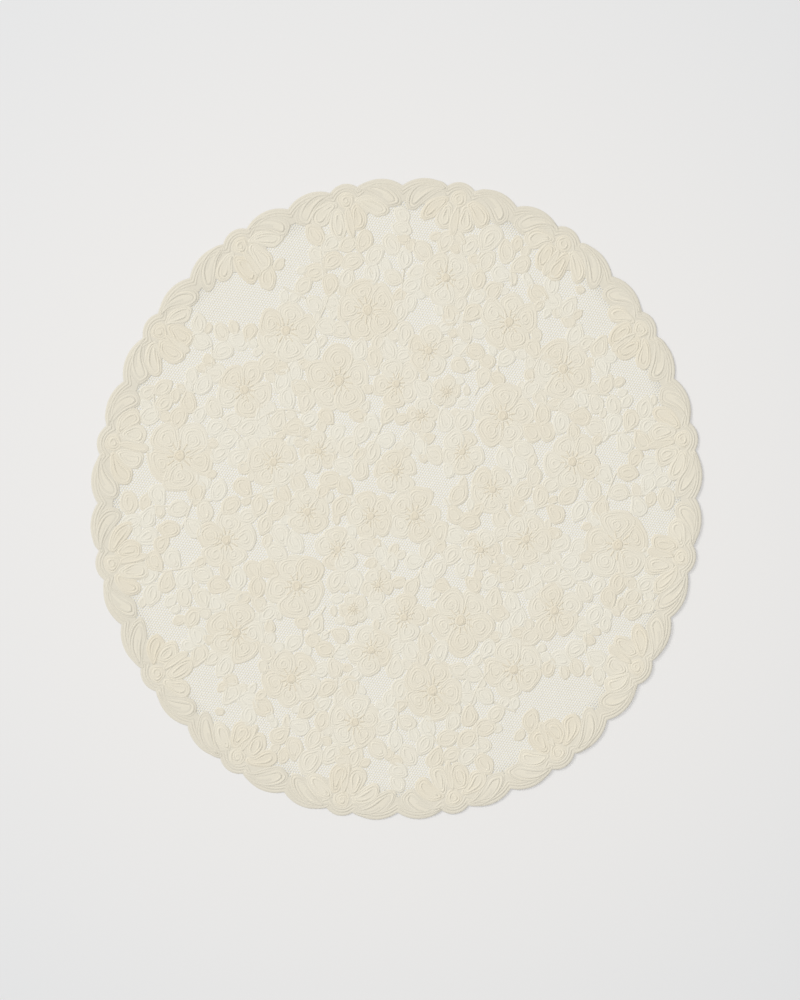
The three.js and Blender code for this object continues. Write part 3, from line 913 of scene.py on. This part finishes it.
def net_bars(eggs):
    """Bars of the net that show: each joins a lower knot to the upper knot of its own cell or of two
    cells near by. Columns lower knot, upper knot, kind."""
    lower, upper = net_knots()
    number = np.arange(lower.shape[0] * lower.shape[1]).reshape(lower.shape[:2])
    within = slice(NET_RIM, -NET_RIM)
    starts = number[within, within].ravel()
    kinds = []
    for kind, (columns_on, rows_on) in enumerate(NEIGHBOUR_CELLS):
        ends = np.roll(number, (-columns_on, -rows_on), axis=(0, 1))[within, within].ravel()
        kinds.append(np.column_stack([starts, ends, np.full(len(starts), kind)]))
    bars = np.concatenate(kinds)
    lower, upper = lower.reshape(-1, 2), upper.reshape(-1, 2)
    middle = (lower[bars[:, 0]] + upper[bars[:, 1]]) / 2
    on_mat = np.linalg.norm(middle, axis=1) < EDGE_RADIUS
    bars, middle = bars[on_mat], middle[on_mat]
    degrees = np.degrees(np.arctan2(middle[:, 1], middle[:, 0]))
    shown = np.linalg.norm(middle, axis=1) < ground_inner_radius(degrees) + NET_MARGIN
    shown &= ~inside_eggs(middle, eggs, NET_MARGIN)
    return lower, upper, bars[shown], middle[shown]


def knot_points(knots, first_way):
    """Four points to a knot of the net: its crown, and the three crotches between its bars."""
    crotch = NET_THREAD / 2 / math.sin(math.radians(60))
    ways = first_way + np.array([0, 120, 240])
    return np.concatenate([knots[:, None, :], knots[:, None, :] + crotch * turn(ways)], axis=1)


def net(eggs, material):
    """Hexagon net in three bands. A bar is a roof from crown to crown, flat below between crotches."""
    lower, upper, bars, middle = net_bars(eggs)
    made = []
    for band, (low, high) in enumerate(NET_BANDS):
        kept = bars[(middle[:, 0] >= low) & (middle[:, 0] < high)]
        used_low, at_low = np.unique(kept[:, 0], return_inverse=True)
        used_high, at_high = np.unique(kept[:, 1], return_inverse=True)
        points_low = knot_points(lower[used_low], LONG_AXIS_DEG + 60)
        points_high = knot_points(upper[used_high], LONG_AXIS_DEG - 120)
        points = np.concatenate([points_low, points_high])
        heights = np.array([NET_BOTTOM + NET_HEIGHT, NET_BOTTOM, NET_BOTTOM, NET_BOTTOM])
        crown_low, crown_high = KNOT_POINTS * at_low, KNOT_POINTS * (len(used_low) + at_high)
        kind, before = kept[:, 2], (kept[:, 2] + 2) % 3
        left_low, right_low = crown_low + 1 + kind, crown_low + 1 + before
        left_high, right_high = crown_high + 1 + before, crown_high + 1 + kind
        roofs = np.concatenate(
            [
                np.column_stack([crown_low, crown_high, left_high, left_low]),
                np.column_stack([crown_low, right_low, right_high, crown_high]),
                np.column_stack([left_low, left_high, right_high, right_low]),
            ]
        )
        flat = lifted(points, np.broadcast_to(heights, points.shape[:2])).reshape(-1, 3)
        made.append(piece(f"net_{band + 1}", flat, roofs.ravel(), np.full(len(roofs), 4), material))
    return made


# The table, in metres as the whole studio: painted light near the mat, where its white is painted lighter
# and warmer for the brighter, warmer light there, and a cooler plain white farther out
TABLE_SIZE = 6
TABLE_NEAR_PAINTED_LIGHT = (0.852, 0.838, 0.821)
TABLE_FAR = (0.822, 0.824, 0.826)
TABLE_FROM, TABLE_TO = 0.18, 0.37  # from the middle, from the painted light near the mat to the plain white

# The even sky and the camera straight above the mat
SKY_STRENGTH = 0.3
CAMERA_PLACE = (0.00213, -0.00074, 1.4118)
CAMERA_LENS, CAMERA_SENSOR = 85, 36  # millimetres


def table_white_painted_light():
    """A plain matt finish for the table, its colour mixed by the distance from the middle: painted light,
    lighter and warmer, near the mat, and a cooler plain white farther out.
    """
    material = bpy.data.materials.new("table_white_painted_light")
    material.use_nodes = True
    nodes, links = material.node_tree.nodes, material.node_tree.links
    shader = nodes["Principled BSDF"]
    set_inputs(shader, {"Roughness": 0.8, "Specular IOR Level": 0.1})
    place = nodes.new("ShaderNodeTexCoord")
    far = nodes.new("ShaderNodeVectorMath")
    far.operation = "LENGTH"
    links.new(place.outputs["Object"], far.inputs[0])
    share = nodes.new("ShaderNodeMapRange")
    set_inputs(share, {"From Min": TABLE_FROM, "From Max": TABLE_TO})
    links.new(far.outputs["Value"], share.inputs["Value"])
    # painted light: the plain table white mixed with the lighter, warmer one near the mat
    white = nodes.new("ShaderNodeMix")
    white.data_type = "RGBA"
    set_inputs(white, {"A": (*TABLE_NEAR_PAINTED_LIGHT, 1), "B": (*TABLE_FAR, 1)})
    links.new(share.outputs["Result"], white.inputs["Factor"])
    links.new(white.outputs["Result"], shader.inputs["Base Color"])
    return material


def lamp(name, place, size, watts):
    """A square soft light that faces the mat."""
    light = bpy.data.lights.new(name, "AREA")
    light.energy = watts
    light.size = size
    made = bpy.data.objects.new(name, light)
    made.location = place
    made.rotation_mode = "QUATERNION"
    made.rotation_quaternion = made.location.to_track_quat("Z", "Y")
    bpy.context.scene.collection.objects.link(made)


def studio(floor_material):
    """The pale table, a big light from the upper left, a soft one above, an even sky and the camera."""
    bpy.ops.mesh.primitive_plane_add(size=TABLE_SIZE)
    floor = bpy.context.object
    floor.name = "table"
    floor.data.materials.append(floor_material)
    scene = bpy.context.scene
    scene.view_settings.view_transform = "Standard"
    world = bpy.data.worlds.new("sky")
    world.use_nodes = True
    set_inputs(world.node_tree.nodes["Background"], {"Color": (1, 1, 1, 1), "Strength": SKY_STRENGTH})
    scene.world = world
    lamp("window", place=(-9.2, 5.8, 5.8), size=3.9, watts=690)
    lamp("ceiling", place=(-0.04, 0.03, 1.5), size=0.8, watts=11.75)
    lens = bpy.data.cameras.new("above")
    lens.lens = CAMERA_LENS
    lens.sensor_width = CAMERA_SENSOR
    camera = bpy.data.objects.new("above", lens)
    camera.location = CAMERA_PLACE
    scene.collection.objects.link(camera)
    scene.camera = camera


PALE_CREAM, WARM_CREAM = (0.814, 0.783, 0.683), (0.773, 0.708, 0.57)
# Painted shade: the border's creams are the motifs' creams made darker, for the shade among the border's
# close raised rows. The commas, the edge cords and the border's ground wear them.
BORDER_PALE_PAINTED_SHADE, BORDER_WARM_PAINTED_SHADE = (0.766, 0.732, 0.637), (0.731, 0.678, 0.556)
NET_PALE = (0.848, 0.82, 0.694)
corded_cotton = cream_thread("corded_cotton", PALE_CREAM, WARM_CREAM, True)
border_cotton_painted_shade = cream_thread("border_cotton_painted_shade", BORDER_PALE_PAINTED_SHADE, BORDER_WARM_PAINTED_SHADE, True)
padding_cotton = cream_thread("padding_cotton", PALE_CREAM, WARM_CREAM, False)
net_cotton = cream_thread("net_cotton", NET_PALE, WARM_CREAM, False)

petal_eggs = petals()
heart_eggs = hearts()
leaf_eggs, stems_needed = sprig_leaves()
comma_eggs = commas()
border_eggs = border_leaves()
fill_eggs = filling_leaves(petal_eggs + leaf_eggs + border_eggs + comma_eggs)
flat_eggs = petal_eggs + leaf_eggs + border_eggs + comma_eggs + fill_eggs
worked = flat_eggs + heart_eggs

padding = ringed("padding", [mound(e) for e in worked], [e.warmth for e in worked], padding_cotton, True)
upper_petals = [e for e in petal_eggs if middle_of(e)[1] > 0]
lower_petals = [e for e in petal_eggs if middle_of(e)[1] <= 0]
threads = [
    corded("upper_petal_cords", upper_petals, INNER_BOLDNESS, corded_cotton),
    corded("lower_petal_cords", lower_petals, INNER_BOLDNESS, corded_cotton),
    corded("heart_cords", heart_eggs, HEART_BOLDNESS, corded_cotton),
    corded("leaf_cords", leaf_eggs + fill_eggs, INNER_BOLDNESS, corded_cotton),
    corded("border_cords", border_eggs, BORDER_BOLDNESS, corded_cotton),
    corded("comma_cords", comma_eggs, BORDER_BOLDNESS, border_cotton_painted_shade),
    laid_cords("heart_stitches", stitches(), STITCH_WARMTH, corded_cotton),
    laid_cords("stem_cords", stems(stems_needed), LEAF_WARMTH, corded_cotton),
    laid_cords("edge_cords", edge_rows(), BORDER_WARMTH, border_cotton_painted_shade),
    ringed("border_ground", [border_ground()], [BORDER_WARMTH], border_cotton_painted_shade, False),
]
nets = net(flat_eggs, net_cotton)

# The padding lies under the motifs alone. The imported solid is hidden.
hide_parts("lace_mat")

studio(table_white_painted_light())
